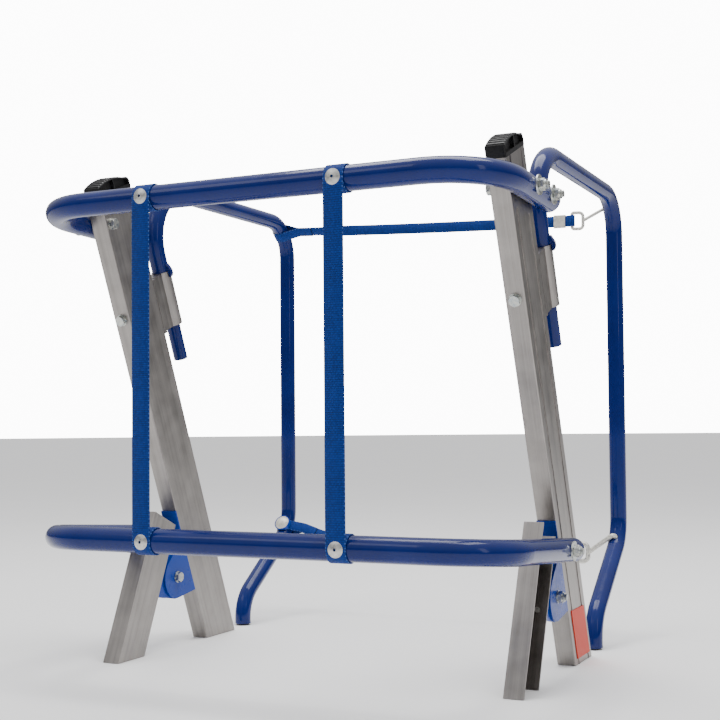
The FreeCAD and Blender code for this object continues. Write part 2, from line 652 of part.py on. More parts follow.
# ---- safety belts between the hoops -------------------------------------------------------------
rear_bend = V(0, HOOP_REACH - HOOP_REAR_BEND, HOOP_TOP - HOOP_REAR_BEND)
low_turn = math.radians(90 - HOOP_DIAGONAL)
low_bend = V(0, HOOP_REACH - HOOP_LOW_BEND, HOOP_KNEE + HOOP_LOW_BEND * math.tan(low_turn / 2))


def outward(angle):
    """Direction away from a bend's centre, in the hoop's plane."""
    return V(0, math.cos(math.radians(angle)), math.sin(math.radians(angle)))


def belt_loop(centre, bend, angle):
    """The belt's sewn loop, round a bend of the left-hand hoop."""
    at = centre + V(-HOOP_X, bend, 0)
    outer = Part.Face(Part.Wire(Part.makeCircle(LOOP_R + BELT_T, at, V(0, 0, 1))))
    inner = Part.Face(Part.Wire(Part.makeCircle(LOOP_R, at, V(0, 0, 1))))
    ring = outer.cut(inner).Faces[0]
    spread = math.degrees(BELT_WIDTH / bend)
    axis = centre + V(-HOOP_X, 0, 0)
    ring.rotate(axis, V(1, 0, 0), angle - spread / 2)
    return ring.revolve(axis, V(1, 0, 0), spread)


# the lower loop is held by a domed screw on the inside of the bend
screw_axis = outward(LOWER_LOOP_ANGLE)
screw_seat = low_bend + screw_axis * (HOOP_LOW_BEND - LOOP_R - BELT_T) + V(-HOOP_X, 0, 0)
screw_stem = Part.makeCylinder(BOLT_R, BELT_T + LOOP_GAP + HOOP_WALL + 5, screw_seat, screw_axis)
stem_hole = Part.makeCylinder(BOLT_R, HOOP_R + 2, screw_seat - screw_axis * 2, screw_axis)


def anchor_collar():
    base = screw_seat - screw_axis * COLLAR_T
    collar = Part.makeCylinder(COLLAR_D / 2, COLLAR_T + 8, base, screw_axis)
    at = low_bend + V(-HOOP_X, HOOP_LOW_BEND, 0)
    over = Part.Face(Part.Wire(Part.makeCircle(LOOP_R + BELT_T, at, V(0, 0, 1))))
    axis = low_bend + V(-HOOP_X, 0, 0)
    over.rotate(axis, V(1, 0, 0), LOWER_LOOP_ANGLE - 40)
    collar = collar.cut(over.revolve(axis, V(1, 0, 0), 80))
    keep = Part.makeCylinder(COLLAR_D, COLLAR_T + 3, base, screw_axis)
    return collar.common(keep).cut(Part.makeCylinder(BOLT_R, COLLAR_T + 8, base, screw_axis))


def anchor():
    """Domed screw on the collar."""
    seat = screw_seat - screw_axis * COLLAR_T
    radius = (ANCHOR_D * ANCHOR_D / 4 + ANCHOR_T * ANCHOR_T) / (2 * ANCHOR_T)
    dome = Part.makeSphere(radius, seat + screw_axis * (radius - ANCHOR_T))
    disc = Part.makeCylinder(ANCHOR_D / 2, ANCHOR_T, seat - screw_axis * ANCHOR_T, screw_axis)
    neck = Part.makeCylinder(BOLT_R, COLLAR_T, seat, screw_axis)
    return dome.common(disc).fuse([neck, screw_stem]).removeSplitter()


def belt_line(start, end, sag):
    return Part.Arc(start, (start + end) * 0.5 - V(0, 0, sag), end).toShape()


def belt(start, end, sag, wire_d):
    """A strip of webbing that sags between two points, with a loop round the hook's bar."""
    line = belt_line(start, end, sag)
    heading = line.tangentAt(line.FirstParameter)
    across = (end - start).cross(V(0, 0, 1)).normalize()
    side = across * (BELT_T / 2)
    up = across.cross(heading) * (BELT_WIDTH / 2)
    corners = [start - side - up, start + side - up, start + side + up, start - side + up]
    strip = Part.Wire([line]).makePipe(Part.Face(Part.makePolygon(corners + corners[:1])))
    # the strip's sloping end is trimmed upright, clear of the loop it is sewn to
    strip = strip.cut(block(start.x - BELT_WIDTH, start.x, start.y - BELT_T, start.y + BELT_T,
                            start.z - BELT_WIDTH, start.z + BELT_WIDTH))
    radius = wire_d / 2 + LOOP_GAP
    low = end + V(radius, 0, -BELT_WIDTH / 2)
    ring = Part.makeCylinder(radius + BELT_T, BELT_WIDTH, low)
    eye = Part.makeCylinder(radius, BELT_WIDTH * 2, low - V(0, 0, BELT_WIDTH / 2))
    return strip.fuse(ring).removeSplitter().cut(eye)


def ferrule(start, end, sag):
    """Crimped sheet ferrule that closes the belt's end loop."""
    line = belt_line(start, end, sag)
    at = line.valueAt(line.LastParameter - FERRULE_SETBACK / line.Curve.Radius)
    slope = line.tangentAt(line.LastParameter - FERRULE_SETBACK / line.Curve.Radius)
    half = FERRULE_LENGTH / 2
    high = BELT_WIDTH / 2 + 0.4
    deep = BELT_T / 2 + 0.2
    wall = FERRULE_SHEET
    sheet = block(-half, half, -deep - wall, deep + wall, -high - wall, high + wall)
    sheet = sheet.makeFillet(wall, [e for e in sheet.Edges if e.BoundBox.XLength > half])
    sheet = sheet.cut(block(-half, half, -deep, deep, -high, high))
    sheet.rotate(V(0, 0, 0), V(0, 1, 0), -math.degrees(math.atan2(slope.z, slope.x)))
    sheet.rotate(V(0, 0, 0), V(0, 0, 1), math.degrees(math.atan2(slope.y, slope.x)))
    sheet.translate(at)
    return sheet


def hook(bar, latch, pin, wire_d):
    """Wire hook: a D-ring for the belt, a shank to the hoop and a pin that enters its tube."""
    wire = wire_d / 2
    high = V(0, 0, BELT_WIDTH / 2 + wire + 1.5)
    ahead = V(latch.x - bar.x, latch.y - bar.y, 0).normalize() * (HOOK_RING_LENGTH + wire)
    ring_points = [bar, bar + high, bar + high + ahead, bar - high + ahead, bar - high, bar]
    ring = rounded_path(ring_points, (wire * 1.2, wire * 2.4, wire * 2.4, wire * 1.2))
    shank = rounded_path([bar + ahead, latch, latch + pin], (wire * 1.3,))
    return rod_along(ring, wire).fuse(rod_along(shank, wire)).removeSplitter()


def hook_hole(latch, pin, wire_d):
    return Part.makeCylinder(wire_d / 2 + HOOK_HOLE_CLEARANCE, pin.Length + 2, latch, pin)


belt_start = V(-HOOP_X + LOOP_R + BELT_T + BELT_GAP, 0, 0)

upper_loop_at = rear_bend + outward(UPPER_LOOP_ANGLE) * HOOP_REAR_BEND
upper_start = upper_loop_at + belt_start
upper_end = V(HOOP_X - HOOK_REACH, upper_start.y, upper_start.z - UPPER_BELT_FALL)
upper_bar = upper_end + V(UPPER_WIRE_D / 2 + LOOP_GAP, 0, 0)
upper_standoff = HOOP_R + UPPER_WIRE_D * 1.5
upper_side = outward(UPPER_LATCH_ANGLE)
upper_latch = rear_bend + upper_side * (HOOP_REAR_BEND + upper_standoff) + V(HOOP_X, 0, 0)
upper_pin = upper_side * (HOOP_R - upper_standoff - HOOK_PIN)

lower_loop_at = low_bend + outward(LOWER_LOOP_ANGLE) * HOOP_LOW_BEND
lower_start = lower_loop_at + belt_start
lower_standoff = HOOP_R + LOWER_WIRE_D * 0.95
lower_side = outward(LOWER_LATCH_ANGLE)
lower_latch = low_bend + lower_side * (HOOP_LOW_BEND - lower_standoff) + V(HOOP_X, 0, 0)
lower_end_y = lower_start.y + (lower_latch.y - lower_start.y) * LOWER_END_SHARE
lower_end = V(HOOP_X - HOOK_REACH, lower_end_y, lower_start.z - LOWER_BELT_FALL)
lower_bar = lower_end + V(LOWER_WIRE_D / 2 + LOOP_GAP, 0, 0)
lower_pin = lower_side * (lower_standoff - HOOP_R + HOOK_PIN)


def label():
    """Blank identification plate on the web of the right-hand stile, between its ribs."""
    def on_web(y_local, z):
        base = stile_frame.multVec(V(0, y_local, 0))
        climb = up_stile * ((z - base.z) / up_stile.z)
        return V(WEB_X, base.y + climb.y, z)
    near = LABEL_EDGE
    far = STILE_DEPTH - LABEL_EDGE
    points = [on_web(near, LABEL_BOTTOM), on_web(far, LABEL_BOTTOM),
              on_web(far, LABEL_TOP), on_web(near, LABEL_TOP)]
    film = Part.Face(Part.makePolygon(points + points[:1])).extrude(V(WEB_RIB_HEIGHT + LABEL_T, 0, 0))
    return film.cut(make_stile())


# ---- write every piece -------------------------------------------------------------------------
os.makedirs("parts", exist_ok=True)

save_pair("stile", make_stile())
save_pair("stile_cap", make_cap())
save("top_rail", top_rail)

bolts = []
washers = []
nuts = []
outer_face = RAIL_X + RAIL_R
for point in top_bolts:
    right = bolt_x(INNER_X - WASHER_T, outer_face + WASHER_T + NUT_HEIGHT + THREAD_TAIL, point.y, point.z)
    outer = washer_x(outer_face, point.y, point.z, BIG_WASHER_D)
    inner = washer_x(INNER_X - WASHER_T, point.y, point.z, SMALL_WASHER_D)
    nut = nut_x(outer_face + WASHER_T, point.y, point.z)
    bolts += [right, mirrored(right)]
    washers += [outer, mirrored(outer), inner, mirrored(inner)]
    nuts += [nut, mirrored(nut)]
save("top_rail_bolts", *bolts)
save("top_rail_washers", *washers)
save("top_rail_nuts", *nuts)

save_pair("sleeve", make_sleeve())
sleeve_bolt = make_sleeve_bolt()
save("sleeve_bolts", sleeve_bolt, mirrored(sleeve_bolt))
sleeve_washer = make_sleeve_washer()
save("sleeve_washers", sleeve_washer, mirrored(sleeve_washer))

save_pair("hinge_bracket_stile", make_stile_bracket())
rivets = [bracket_rivet(-BRACKET_SHEET, pivot_z_on_stile + z, stile_frame, 0, STILE_WALL)
          for z in BRACKET_RIVETS]
save("stile_bracket_rivets", *rivets, *[mirrored(r) for r in rivets])

hinge_bolt = bolt_x(INNER_X - WASHER_T, WEB_X + WASHER_T + NUT_HEIGHT + THREAD_TAIL, pivot.y, pivot.z)
save("hinge_bolts", hinge_bolt, mirrored(hinge_bolt))
hinge_washers = [washer_x(x, pivot.y, pivot.z, SMALL_WASHER_D) for x in (INNER_X - WASHER_T, WEB_X)]
save("hinge_washers", *hinge_washers, *[mirrored(w) for w in hinge_washers])
hinge_nut = nut_x(WEB_X + WASHER_T, pivot.y, pivot.z)
save("hinge_nuts", hinge_nut, mirrored(hinge_nut))
bush_x0 = INNER_X + BRACKET_SHEET
bush_x1 = WEB_X - BRACKET_SHEET
bush = rod_x(BUSH_OD / 2, bush_x0, bush_x1, pivot.y, pivot.z)
bush = bush.cut(rod_x(HOLE_R, bush_x0, bush_x1, pivot.y, pivot.z))
save("hinge_bushes", bush, mirrored(bush))

save_pair("leg", make_leg())
save_pair("hinge_bracket_leg", make_leg_bracket())
rivets = [bracket_rivet(LEG_DEPTH + BRACKET_SHEET, pivot_z_on_leg + z, leg_frame, 180, LEG_WALL)
          for z in BRACKET_RIVETS]
save("leg_bracket_rivets", *rivets, *[mirrored(r) for r in rivets])

turning_face = outer_face + TUBE_GAP
mid_bolt_end = turning_face + WASHER_T + NUT_HEIGHT + THREAD_TAIL
mid_bolt = bolt_x(INNER_X - WASHER_T, mid_bolt_end, mid_pivot.y, mid_pivot.z)
save("mid_rail_bolts", mid_bolt, mirrored(mid_bolt))
mid_washers = [washer_x(turning_face, mid_pivot.y, mid_pivot.z, BIG_WASHER_D),
               washer_x(INNER_X - WASHER_T, mid_pivot.y, mid_pivot.z, SMALL_WASHER_D)]
save("mid_rail_washers", *mid_washers, *[mirrored(w) for w in mid_washers])
mid_nut = nut_x(turning_face + WASHER_T, mid_pivot.y, mid_pivot.z)
save("mid_rail_nuts", mid_nut, mirrored(mid_nut))
spacer_x0 = WEB_X - LEG_WIDTH + LEG_WALL
spacer = rod_x(BUSH_OD / 2 + 1, spacer_x0, WEB_X, mid_pivot.y, mid_pivot.z)
spacer = spacer.cut(rod_x(HOLE_R, spacer_x0, WEB_X, mid_pivot.y, mid_pivot.z))
save("mid_rail_spacers", spacer, mirrored(spacer))
save("mid_rail", mid_rail)

strap = make_strap()
save("strap_right", strap)
save("strap_left", mirrored(strap))
save("strap_rivets_upper", *strap_rivets(TOP_RAIL_HEIGHT))
save("strap_rivets_lower", *strap_rivets(MID_RAIL_HEIGHT))

save("hoop_right", make_hoop([hook_hole(upper_latch, upper_pin, UPPER_WIRE_D),
                              hook_hole(lower_latch, lower_pin, LOWER_WIRE_D)]))
save("hoop_left", mirrored(make_hoop([])).cut(stem_hole))
save_pair("hoop_spigot", make_spigot())
# the two hoops are the same part, so both nibs are on the same side
nib = make_nib()
save("hoop_nib_right", nib)
nib_left = nib.copy()
nib_left.translate(V(-2 * HOOP_X, 0, 0))
save("hoop_nib_left", nib_left)

save("upper_belt_loop", belt_loop(rear_bend, HOOP_REAR_BEND, UPPER_LOOP_ANGLE))
save("lower_belt_loop", belt_loop(low_bend, HOOP_LOW_BEND, LOWER_LOOP_ANGLE).cut(stem_hole))
save("lower_belt_collar", anchor_collar())
save("lower_belt_anchor", anchor())
save("upper_belt", belt(upper_start, upper_end, UPPER_BELT_SAG, UPPER_WIRE_D))
save("upper_belt_ferrule", ferrule(upper_start, upper_end, UPPER_BELT_SAG))
save("upper_belt_hook", hook(upper_bar, upper_latch, upper_pin, UPPER_WIRE_D))
save("lower_belt", belt(lower_start, lower_end, LOWER_BELT_SAG, LOWER_WIRE_D))
save("lower_belt_ferrule", ferrule(lower_start, lower_end, LOWER_BELT_SAG))
save("lower_belt_hook", hook(lower_bar, lower_latch, lower_pin, LOWER_WIRE_D))
save("label", label())

drop = V(0, shift_y, 0)
print("hinge pivot", pivot + drop, "mid rail pivot", mid_pivot + drop, "stile direction", up_stile)
print("upper loop", upper_loop_at + drop, "lower loop", lower_loop_at + drop, "shift", shift_y)
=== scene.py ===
import json
import math

import bmesh
import bpy
from mathutils import Matrix, Vector


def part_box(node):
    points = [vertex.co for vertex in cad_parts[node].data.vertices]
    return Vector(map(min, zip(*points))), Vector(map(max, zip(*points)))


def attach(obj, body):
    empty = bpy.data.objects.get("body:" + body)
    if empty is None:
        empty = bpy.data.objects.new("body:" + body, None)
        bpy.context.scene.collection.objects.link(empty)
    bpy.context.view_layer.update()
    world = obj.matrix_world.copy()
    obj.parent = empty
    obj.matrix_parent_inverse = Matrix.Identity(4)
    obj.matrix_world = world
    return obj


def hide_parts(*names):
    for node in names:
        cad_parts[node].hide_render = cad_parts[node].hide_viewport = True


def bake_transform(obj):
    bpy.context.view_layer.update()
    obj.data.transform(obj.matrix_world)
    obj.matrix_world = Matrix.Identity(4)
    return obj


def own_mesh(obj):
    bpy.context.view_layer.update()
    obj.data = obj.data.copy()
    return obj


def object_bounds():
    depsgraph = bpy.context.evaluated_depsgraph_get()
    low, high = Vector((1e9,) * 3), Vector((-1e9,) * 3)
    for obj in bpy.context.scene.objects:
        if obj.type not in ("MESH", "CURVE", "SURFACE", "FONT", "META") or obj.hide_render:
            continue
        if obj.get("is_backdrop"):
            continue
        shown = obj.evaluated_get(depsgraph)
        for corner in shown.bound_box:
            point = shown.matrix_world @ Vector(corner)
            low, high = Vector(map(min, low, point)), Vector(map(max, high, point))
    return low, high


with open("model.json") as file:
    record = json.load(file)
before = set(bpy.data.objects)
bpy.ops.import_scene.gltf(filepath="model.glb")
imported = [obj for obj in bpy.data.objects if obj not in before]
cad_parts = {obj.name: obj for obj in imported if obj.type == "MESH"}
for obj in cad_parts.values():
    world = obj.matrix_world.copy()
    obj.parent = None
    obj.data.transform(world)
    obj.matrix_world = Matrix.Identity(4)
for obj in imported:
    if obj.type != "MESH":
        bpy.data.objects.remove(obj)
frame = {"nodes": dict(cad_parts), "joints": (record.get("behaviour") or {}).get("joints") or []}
cad_box = [list(corner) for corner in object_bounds()]


# ---- camera ----
# A low three-quarter view: level with the middle of the section, about a metre and a half in
# front of it and to its right, looking a little upwards.
CAMERA_PLACE = Vector((0.74456, -1.57210, 0.31834))
CAMERA_YAW = math.radians(25.214)      # from straight along +Y towards -X
CAMERA_PITCH = math.radians(2.075)
CAMERA_ROLL = math.radians(-0.478)
FOCAL_LENGTH = 62.56                   # mm, on a 36 mm wide frame
FRAME_SHIFT = 0.02586
camera = bpy.data.objects.new("camera", bpy.data.cameras.new("camera"))
camera.data.sensor_width = 36.0
camera.data.lens = FOCAL_LENGTH
camera.data.shift_y = FRAME_SHIFT
turn = (Matrix.Rotation(CAMERA_YAW, 4, "Z") @ Matrix.Rotation(math.pi / 2 + CAMERA_PITCH, 4, "X")
        @ Matrix.Rotation(CAMERA_ROLL, 4, "Z"))
camera.matrix_world = Matrix.Translation(CAMERA_PLACE) @ turn
bpy.context.scene.collection.objects.link(camera)
bpy.context.scene.camera = camera


# ---- floor and studio light ----
# A plain pale floor under a bright, nearly white room, with two soft boxes that draw the long
# highlights on the tubes.
FLOOR_RADIUS = 34.0
FLOOR_DROP = 0.0005                    # under the section, so that no two faces lie together
floor_mesh = bpy.data.meshes.new("floor")
work = bmesh.new()
bmesh.ops.create_circle(work, cap_ends=True, segments=96, radius=FLOOR_RADIUS)
work.to_mesh(floor_mesh)
work.free()
floor = bpy.data.objects.new("floor", floor_mesh)
floor.location.z = -FLOOR_DROP
bpy.context.scene.collection.objects.link(floor)
floor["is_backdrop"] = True


def linear(code):
    """A shader colour from an sRGB hex code."""
    parts = [int(code[i:i + 2], 16) / 255 for i in (1, 3, 5)]
    return [c / 12.92 if c <= 0.04045 else ((c + 0.055) / 1.055) ** 2.4 for c in parts] + [1.0]


def add(tree, kind, inputs=(), **settings):
    """A node of that kind: settings are its properties, inputs its socket values or links."""
    made = tree.nodes.new("ShaderNode" + kind)
    for name, value in settings.items():
        setattr(made, name, value)
    for name, value in dict(inputs).items():
        if isinstance(value, bpy.types.NodeSocket):
            tree.links.new(value, made.inputs[name])
        else:
            made.inputs[name].default_value = value
    return made


def ramp(tree, factor, low, high, start=0.0, end=1.0):
    """A colour ramp from one hex colour to another between two factors."""
    made = add(tree, "ValToRGB", {"Fac": factor})
    for stop, place, code in zip(made.color_ramp.elements, (start, end), (low, high)):
        stop.position = place
        stop.color = linear(code)
    return made.outputs["Color"]


def span(tree, factor, low, high, start=0.0, end=1.0):
    """Maps a factor from start..end to low..high."""
    made = add(tree, "MapRange", {"Value": factor, "From Min": start, "From Max": end,
                                  "To Min": low, "To Max": high})
    return made.outputs["Result"]


def new_material(name, **settings):
    """A material and its principled shader, with constant settings on the shader's own sockets."""
    material = bpy.data.materials.new(name)
    material.use_nodes = True
    shader = material.node_tree.nodes["Principled BSDF"]
    for socket, value in settings.items():
        shader.inputs[socket.replace("_", " ")].default_value = value
    return material, material.node_tree, shader


def feed(tree, shader, **sockets):
    """Links sources to a shader's sockets, named with underscores for spaces."""
    for socket, source in sockets.items():
        tree.links.new(source, shader.inputs[socket.replace("_", " ")])


def finish_nodes(material, *names):
    """Gives CAD nodes a material."""
    for name in names:
        for place in frame["nodes"][name].material_slots:
            place.link = "OBJECT"
            place.material = material


plaster, tree, shader = new_material("pale_floor_paint", Roughness=0.85)
place = add(tree, "TexCoord").outputs["Object"]
mottle = add(tree, "TexNoise", {"Vector": place, "Scale": 3.0, "Detail": 3.0}).outputs["Fac"]
feed(tree, shader, Base_Color=ramp(tree, mottle, "#fafaf9", "#fefefd"))
floor_mesh.materials.append(plaster)

world = bpy.data.worlds.new("studio")
bpy.context.scene.world = world
world.use_nodes = True
air = world.node_tree
direction = add(air, "TexCoord").outputs["Generated"]
parts = add(air, "SeparateXYZ", {"Vector": direction})
# dim at the horizon and bright overhead, as under a studio ceiling
HORIZON_GLOW = 0.14
CEILING_GLOW = 1.3
overhead = span(air, parts.outputs["Z"], 0.0, 1.0, 0.05, 0.9)
glow = add(air, "ValToRGB", {"Fac": overhead})
for stop, shade in zip(glow.color_ramp.elements, (HORIZON_GLOW, CEILING_GLOW)):
    stop.color = (shade, shade, shade * 1.02, 1.0)
air.links.new(glow.outputs["Color"], air.nodes["Background"].inputs["Color"])
air.nodes["Background"].inputs["Strength"].default_value = 1.0

# the white room behind everything is seen, and lights nothing
ROOM_GLOW = 12.0
room_paint, tree, shader = new_material("white_room", Roughness=1.0,
                                        Emission_Strength=ROOM_GLOW)
place = add(tree, "TexCoord").outputs["Object"]
haze = add(tree, "TexNoise", {"Vector": place, "Scale": 0.1}).outputs["Fac"]
feed(tree, shader, Emission_Color=ramp(tree, haze, "#fcfcfc", "#ffffff"))
room_mesh = bpy.data.meshes.new("white_room")
work = bmesh.new()
bmesh.ops.create_icosphere(work, subdivisions=4, radius=FLOOR_RADIUS * 1.05)
work.to_mesh(room_mesh)
work.free()
room_mesh.materials.append(room_paint)
room = bpy.data.objects.new("white_room", room_mesh)
for ray in ("diffuse", "glossy", "transmission", "shadow", "volume_scatter"):
    setattr(room, "visible_" + ray, False)
bpy.context.scene.collection.objects.link(room)
room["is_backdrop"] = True

for name, at, look_at, size, watts in (
        ("key_box", (-1.4, -2.2, 2.6), (0.0, 0.0, 0.3), (1.4, 0.8), 7),
        ("side_box", (2.6, -1.2, 1.3), (0.2, 0.0, 0.35), (0.4, 1.4), 4),
        ("top_box", (0.1, 0.1, 2.6), (0.1, 0.0, 0.3), (2.2, 1.2), 62)):
    light = bpy.data.lights.new(name, "AREA")
    light.shape = "RECTANGLE"
    light.size, light.size_y = size
    light.energy = watts
    lamp = bpy.data.objects.new(name, light)
    lamp.location = at
    lamp.rotation_euler = (Vector(look_at) - Vector(at)).to_track_quat("-Z", "Y").to_euler()
    bpy.context.scene.collection.objects.link(lamp)


# ---- rails and hoops: gloss powder coat on steel tube ----
# Deep navy blue with a hard gloss, a faint orange peel and slow waves that break up the
# highlights. The hinge brackets and the collar of the lower belt have a brighter, flatter coat.
def powder_coat(name, dark, light, rough, coat):
    material, tree, shader = new_material(name, Coat_Weight=coat, Coat_Roughness=0.05,
                                          Coat_IOR=1.35, Specular_IOR_Level=0.14)
    place = add(tree, "TexCoord").outputs["Object"]
    slow = add(tree, "TexNoise", {"Vector": place, "Scale": 14.0, "Detail": 3.0}).outputs["Fac"]
    peel = add(tree, "TexNoise", {"Vector": place, "Scale": 420.0, "Detail": 2.0}).outputs["Fac"]
    dust = add(tree, "TexNoise", {"Vector": place, "Scale": 90.0, "Detail": 6.0}).outputs["Fac"]
    wave = add(tree, "Bump", {"Height": slow, "Distance": 0.0012, "Strength": 0.12})
    skin = add(tree, "Bump", {"Height": peel, "Distance": 0.00003, "Strength": 0.3,
                              "Normal": wave.outputs["Normal"]})
    feed(tree, shader, Base_Color=ramp(tree, slow, dark, light, 0.3, 0.7),
         Roughness=span(tree, dust, rough, rough + 0.14, 0.35, 0.75),
         Normal=skin.outputs["Normal"])
    return material


tube_coat = powder_coat("navy_powder_coat", "#04185a", "#071f66", 0.12, 0.5)
bracket_coat = powder_coat("blue_powder_coat", "#06338f", "#093c9e", 0.26, 0.2)
finish_nodes(tube_coat, "top_rail", "mid_rail", "hoop_left", "hoop_right", "hoop_spigot_left",
             "hoop_spigot_right", "hoop_nib_left", "hoop_nib_right")
finish_nodes(bracket_coat, "hinge_bracket_stile_left", "hinge_bracket_stile_right",
             "hinge_bracket_leg_left", "hinge_bracket_leg_right", "lower_belt_collar")


# ---- stiles, legs and sleeves: mill-finish aluminium extrusion ----
# Warm grey satin metal with die lines along each member, which leans with it, and the cloudy
# oxide and small scuffs of handled extrusions.
def extrusion(name, lean):
    material, tree, shader = new_material(name, Metallic=1.0)
    place = add(tree, "TexCoord").outputs["Object"]
    along = add(tree, "VectorRotate", {"Vector": place, "Angle": lean}, rotation_type="X_AXIS")
    stretched = add(tree, "Mapping", {"Vector": along.outputs["Vector"],
                                      "Scale": (1.0, 1.0, 0.012)})
    lines = add(tree, "TexNoise", {"Vector": stretched.outputs["Vector"], "Scale": 1100.0,
                                   "Detail": 4.0, "Roughness": 0.65}).outputs["Fac"]
    bands = add(tree, "TexNoise", {"Vector": stretched.outputs["Vector"], "Scale": 160.0,
                                   "Detail": 2.0}).outputs["Fac"]
    cloud = add(tree, "TexNoise", {"Vector": place, "Scale": 32.0, "Detail": 5.0}).outputs["Fac"]
    tone = add(tree, "Math", {0: bands, 1: cloud}, operation="ADD").outputs["Value"]
    tone = add(tree, "Math", {0: tone, 1: lines}, operation="ADD").outputs["Value"]
    groove = add(tree, "Bump", {"Height": lines, "Distance": 0.00006, "Strength": 0.5})
    patch = span(tree, tone, 0.0, 1.0, 1.1, 1.9)
    feed(tree, shader, Base_Color=ramp(tree, patch, "#86827f", "#aba6a2"),
         Roughness=span(tree, tone, 0.30, 0.46, 1.1, 1.9), Normal=groove.outputs["Normal"])
    return material


STILE_LEAN = math.radians(22.8)
LEG_LEAN = math.radians(-24.0)
stile_metal = extrusion("stile_extrusion_aluminium", -STILE_LEAN)
leg_metal = extrusion("leg_extrusion_aluminium", -LEG_LEAN)
finish_nodes(stile_metal, "stile_left", "stile_right", "sleeve_left", "sleeve_right")
finish_nodes(leg_metal, "leg_left", "leg_right")


# ---- bolts, washers, nuts, hooks and rivets ----
# Bright zinc plate with its faint blue-and-straw mottle, screw threads on the free ends of the
# bolts, paler galvanised wire on the hooks, and soft bright aluminium on the blind rivets.
def plated(name, dark, light, rough, pitch=0.0, thread_from=0.0, metal=1.0):
    material, tree, shader = new_material(name, Metallic=metal)
    place = add(tree, "TexCoord").outputs["Object"]
    mottle = add(tree, "TexNoise", {"Vector": place, "Scale": 260.0, "Detail": 4.0}).outputs["Fac"]
    grain = add(tree, "TexNoise", {"Vector": place, "Scale": 2600.0, "Detail": 2.0}).outputs["Fac"]
    bump = add(tree, "Bump", {"Height": grain, "Distance": 0.00003, "Strength": 0.5})
    if pitch:
        # rings at the thread's pitch, only on the tails that stand out past the nuts
        sides = add(tree, "SeparateXYZ", {"Vector": place}).outputs["X"]
        out = add(tree, "Math", {0: sides}, operation="ABSOLUTE").outputs["Value"]
        tail = add(tree, "Math", {0: out, 1: thread_from},
                   operation="GREATER_THAN").outputs["Value"]
        phase = add(tree, "Math", {0: out, 1: 2 * math.pi / pitch}, operation="MULTIPLY")
        ring = add(tree, "Math", {0: phase.outputs["Value"]}, operation="SINE").outputs["Value"]
        ridge = add(tree, "Math", {0: ring, 1: tail}, operation="MULTIPLY").outputs["Value"]
        bump = add(tree, "Bump", {"Height": ridge, "Distance": pitch * 0.25, "Strength": 0.8,
                                  "Normal": bump.outputs["Normal"]})
    feed(tree, shader, Base_Color=ramp(tree, mottle, dark, light, 0.35, 0.65),
         Roughness=span(tree, mottle, rough, rough + 0.16, 0.3, 0.7),
         Normal=bump.outputs["Normal"])
    return material


THREAD_PITCH = 0.00125
outer_nut_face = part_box("top_rail_nuts")[1].x
zinc = plated("zinc_plated_steel", "#a9b0b4", "#d2d2c8", 0.24)
threaded = plated("zinc_plated_thread", "#9aa0a4", "#c6c6bd", 0.28, THREAD_PITCH, outer_nut_face)
wire = plated("galvanised_wire", "#c9c7bf", "#e4e2d8", 0.44, metal=0.5)
rivet_metal = plated("bright_aluminium_rivet", "#b4b4b0", "#d6d6d2", 0.32)
finish_nodes(threaded, "top_rail_bolts", "mid_rail_bolts", "hinge_bolts")
finish_nodes(zinc, "top_rail_washers", "top_rail_nuts", "mid_rail_washers", "mid_rail_nuts",
             "hinge_washers", "hinge_nuts", "hinge_bushes", "sleeve_bolts", "sleeve_washers",
             "mid_rail_spacers")
finish_nodes(wire, "upper_belt_hook", "lower_belt_hook", "upper_belt_ferrule",
             "lower_belt_ferrule", "lower_belt_anchor")
finish_nodes(rivet_metal, "strap_rivets_upper", "strap_rivets_lower", "stile_bracket_rivets",
             "leg_bracket_rivets")


# ---- end caps: moulded black plastic ----
# Near-black polypropylene, pushed into the stile's end, with the fine grain of a spark-eroded
# mould and a little grey dust on the crests.
cap_plastic, tree, shader = new_material("moulded_black_polypropylene", Specular_IOR_Level=0.3)
place = add(tree, "TexCoord").outputs["Object"]
grain = add(tree, "TexNoise", {"Vector": place, "Scale": 1900.0, "Detail": 3.0}).outputs["Fac"]
dust = add(tree, "TexNoise", {"Vector": place, "Scale": 120.0, "Detail": 5.0}).outputs["Fac"]
skin = add(tree, "Bump", {"Height": grain, "Distance": 0.00006, "Strength": 0.6})
feed(tree, shader, Base_Color=ramp(tree, dust, "#070708", "#151618", 0.4, 0.8),
     Roughness=span(tree, dust, 0.36, 0.58, 0.3, 0.7), Normal=skin.outputs["Normal"])
finish_nodes(cap_plastic, "stile_cap_left", "stile_cap_right")


# ---- plate on the right-hand stile ----
# A plain orange-red printed vinyl film stuck to the web and left blank, a little glossy, with
# the slight mottle of its ink.
film, tree, shader = new_material("printed_vinyl_film", Specular_IOR_Level=0.1)
place = add(tree, "TexCoord").outputs["Object"]
ink = add(tree, "TexNoise", {"Vector": place, "Scale": 500.0, "Detail": 3.0}).outputs["Fac"]
feed(tree, shader, Base_Color=ramp(tree, ink, "#c92a0c", "#d63614", 0.3, 0.7),
     Roughness=span(tree, ink, 0.32, 0.42))
finish_nodes(film, "label")


# ---- webbing ----
# Woven polyester: floats of warp cross each rib of weft, with a lighter dotted selvedge at both
# edges. Each band's own map is in millimetres, so the weave runs round loops and twists.
WEFT_PITCH = 2.6             # mm; ribs 1.5 mm apart are too fine to show, so they are coarser
WARP_PITCH = 1.7             # mm; 1 mm floats, made coarser in the same way
SELVEDGE = 1.1


